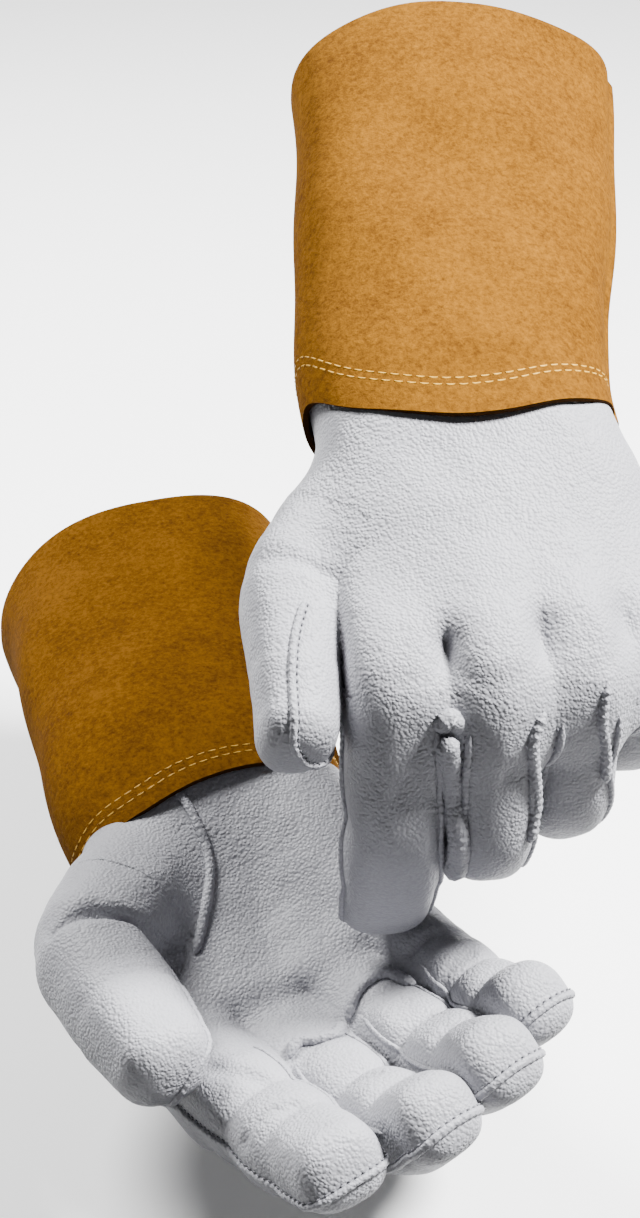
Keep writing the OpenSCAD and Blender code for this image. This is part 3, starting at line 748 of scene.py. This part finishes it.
def welt(glove, side, name, k, path, radius=1.2, pucker=0.08, sink=0.2, flat=0.8, on=None, loose=False):
    """A welt of part k, along a path that is laid on that part's skin or another's, or is loose and
    stands up on the backs of bent fingers: a tube half sunk in the leather, thin at its ends, that swells and narrows
    with every stitch."""
    p = even(np.asarray(path, float), WELT_STEP)
    if loose:
        up = np.tile(BENT_BACK_UP, (len(p), 1))
    else:
        p, up = settled(glove["skin"], p, k if on is None else on)
    n = np.arange(len(p))
    ends = np.sqrt(np.clip(np.minimum(n, n[::-1]) / 6, 0.02, 1))
    size = radius * ends * (1 + pucker * np.sin(n * WELT_STEP * 2 * np.pi / STITCH) + 0.08 * lumps(p, 4.0, 5))
    points, quads = tube(p + up * (sink * radius), up, size, flat=flat)
    piece = meshed(
        f"{side}_{name}_welt", placed(glove, points), quads[:, :: glove["mirror"]], welt_leather,
        fold=np.zeros(len(points)),
    )
    moved(glove, side, piece, k)


def stitches(glove, side, name, k, path, pitch, length, radius, material, offset=0.0, settle=True, on=None):
    """A row of stitches along a path: each is a short rounded rod lying on the skin, bowed up in its middle. A path
    that isn't settled runs round a cuff, and its outside is across the path and the glove's length."""
    p = even(np.asarray(path, float), STITCH_STEP)
    if settle:
        p, up = settled(glove["skin"], p, k if on is None else on)
    else:
        up = np.cross(np.gradient(p, axis=0), [0, 1.0, 0])
        up /= np.linalg.norm(up, axis=1)[:, None]
    span, gap = max(2, int(length / STITCH_STEP)), max(3, int(pitch / STITCH_STEP))
    every, faces, start = [], [], 0
    across = np.cross(np.gradient(p, axis=0), up)
    across /= np.maximum(np.linalg.norm(across, axis=1), 1e-6)[:, None]
    for first in range(2, len(p) - span - 1, gap):
        rod = np.linspace(first, first + span, 4).astype(int)
        bow = np.array([-0.4, 0.5, 0.5, -0.4]) * radius
        points, quads = tube(
            p[rod] + across[rod] * offset + up[rod] * (0.1 + bow[:, None]), up[rod],
            radius * np.array([0.45, 1, 1, 0.45]), 6,
        )
        every.append(points)
        faces.append(quads + start)
        start += len(points)
    faces = np.vstack(faces)[:, :: glove["mirror"]]
    piece = meshed(f"{side}_{name}_stitches", placed(glove, np.vstack(every)), faces, material)
    moved(glove, side, piece, k)
    return piece


def thread(name, colour):
    """Twisted sewing thread: bands along it, a little sheen."""
    material, place, feed = finish_material(name, 0.6, Specular_IOR_Level=0.3)
    twist = place.node("ShaderNodeTexNoise", Vector=place, Scale=1600.0, Detail=2.0)
    feed(Base_Color=twist.between(0.3, 0.7).blend(tuple(0.6 * c for c in colour[:3]) + (1,), colour))
    return material


welt_leather = leather("white_welt_leather", (0.315, 0.315, 0.34, 1), (0.10, 0.096, 0.108, 1))
gold_thread, grey_thread = thread("gold_thread", (0.62, 0.33, 0.03, 1)), thread("grey_thread", (0.20, 0.20, 0.22, 1))
for side, glove in GLOVES.items():
    # round each fingertip and down both sides of its back
    for f, part in enumerate(FINGERS):
        line = glove["skin"]["stalls"][f]
        end, tip = line["s"][-1], line["tip"]
        reach = np.array([12, 24, 40, 58, 72, 84]) / 100 * end
        over = end + tip * np.array([0.3, 0.7, 0.95])
        near = np.array([-6, -8, -8, -6, 2, 10]) if f == 0 else np.array([52, 48, 45, 42, 34, 26])
        far = 180 - (np.array([-4, -4, -4, -2, 4, 10]) if f == 3 else np.array([56, 52, 47, 42, 34, 26]))
        s = np.concatenate([reach, [end], over, over[::-1], [end], reach[::-1]])
        a = np.concatenate([near, [18, 18, 18, 30], [150, 162, 162, 162], far[::-1]])
        path = on_stall(line, s, a)
        welt(glove, side, part + "_tip_seam", f, path)
        stitches(glove, side, part + "_tip_seam", f, path, STITCH, 1.2, 0.32, grey_thread, offset=1.5)
        # the front edges of the strips between the fingers
        for way, skip in (("near", 0), ("far", 3)):
            if f != skip:
                s, a = np.array([26, 40, 58, 76, 90]) / 100 * end, np.array([-50, -42, -36, -30, -20])
                path = on_stall(line, s, a if way == "near" else 180 - a)
                welt(glove, side, f"{part}_{way}_front_seam", f, path, 0.8)
    # the seam across the roots of the middle and ring fronts
    for f, s, a in (
        (1, (20, 18, 18, 21, 23, 20, 18), (-53, -64, -78, -96, -116, -132, -144)),
        (2, (17, 15, 13, 12, 14, 19, 23), (-36, -52, -76, -98, -116, -126, -131)),
    ):
        path = on_stall(glove["skin"]["stalls"][f], s, a)
        welt(glove, side, FINGERS[f] + "_root_seam", f, path, 2.1, 0.05, 0.35, on=5)
    # the thumb, set in round its ball, with a seam over its tip
    ball = [(13, 4, -27), (11, 16, -25), (11, 31, -22), (14, 40, -20), (21, 52, -19), (29, 63, -16)]
    welt(glove, side, "thumb_ball_seam", 5, ball, 1.7, 0.04)
    stitches(glove, side, "thumb_ball_seam", 5, ball, STITCH, 1.2, 0.3, grey_thread, offset=1.6)
    line = glove["skin"]["stalls"][4]
    end, tip = line["s"][-1], line["tip"]
    s = np.concatenate([[44, 56, 68, end], end + tip * np.array([0.5, 0.9, 0.9, 0.5]), [end, 66, 52, 40]])
    a = [100, 92, 90, 92, 95, 105, 200, 208, 210, 206, 200, 196]
    path = on_stall(line, s, a)
    welt(glove, side, "thumb_tip_seam", 4, path)
    stitches(glove, side, "thumb_tip_seam", 4, path, STITCH, 1.2, 0.32, grey_thread, offset=-1.5)
    # the side seam from the cuff to the index finger
    path = [(49, 10, 5), (54, 28, 7), (57, 44, 7), (58, 58, 6), (58, 68, 3), (59, 80, -1), (58, 92, -6)]
    welt(glove, side, "index_side_seam", 5, path, 0.9, on=0)
    stitches(glove, side, "index_side_seam", 5, path, STITCH, 1.3, 0.42, grey_thread, offset=1.6, on=0)
    # two rows of gold stitches fix the cuff to the hand
    for row, inset in enumerate((5.2, 7.6) if side == "right" else (10.5, 12.9)):
        a = np.linspace(186, 530, 400)
        s = glove["edge"](a) + inset
        path = cuff_points(glove, s, a, cuff_wave(glove, s, a % 360))
        piece = stitches(glove, side, f"cuff_row_{row + 1}", 5, path, 3.9, 2.7, 0.42, gold_thread, settle=False)
        if row == 0:
            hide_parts(side + "_cuff_thread")
    # the seam on the little-finger side
    path = [(-49, 14, 0), (-52, 34, 0), (-52, 54, -1), (-51, 72, -6)]
    welt(glove, side, "little_side_seam", 5, path, 0.9)

# The rolls between the left fingers: the fingers are bent, so the slack leather of their strips stands
# up along the slits, thickest between index and middle, where it ends in a knob.
glove = GLOVES["left"]
path = [(31, 112, -3), (30, 114, -9), (29, 116, -17), (28, 119, -26), (27, 127, -36), (27, 130, -46), (28, 131, -54)]
welt(glove, "left", "index_middle_roll", 0, path, 3.6, 0.03, 0.75, 0.9, loose=True)
path = [(34, 109, 0), (32, 110, -1), (29, 109, 0), (26, 112, -4)]
welt(glove, "left", "index_middle_knob", 0, path, 3.4, 0.03, 0.3, 1.0, loose=True)
path = [(2, 112, 1), (6, 118, -5), (5, 122, -16), (4, 126, -27), (6, 133, -38)]
welt(glove, "left", "middle_ring_roll", 1, path, 1.9, 0.12, 0.4, 1.0, loose=True)
path = [(-18, 107, 4), (-16, 114, -5), (-18, 118, -17), (-19, 122, -29)]
welt(glove, "left", "ring_little_roll", 2, path, 1.7, 0.12, 0.4, 1.0, loose=True)
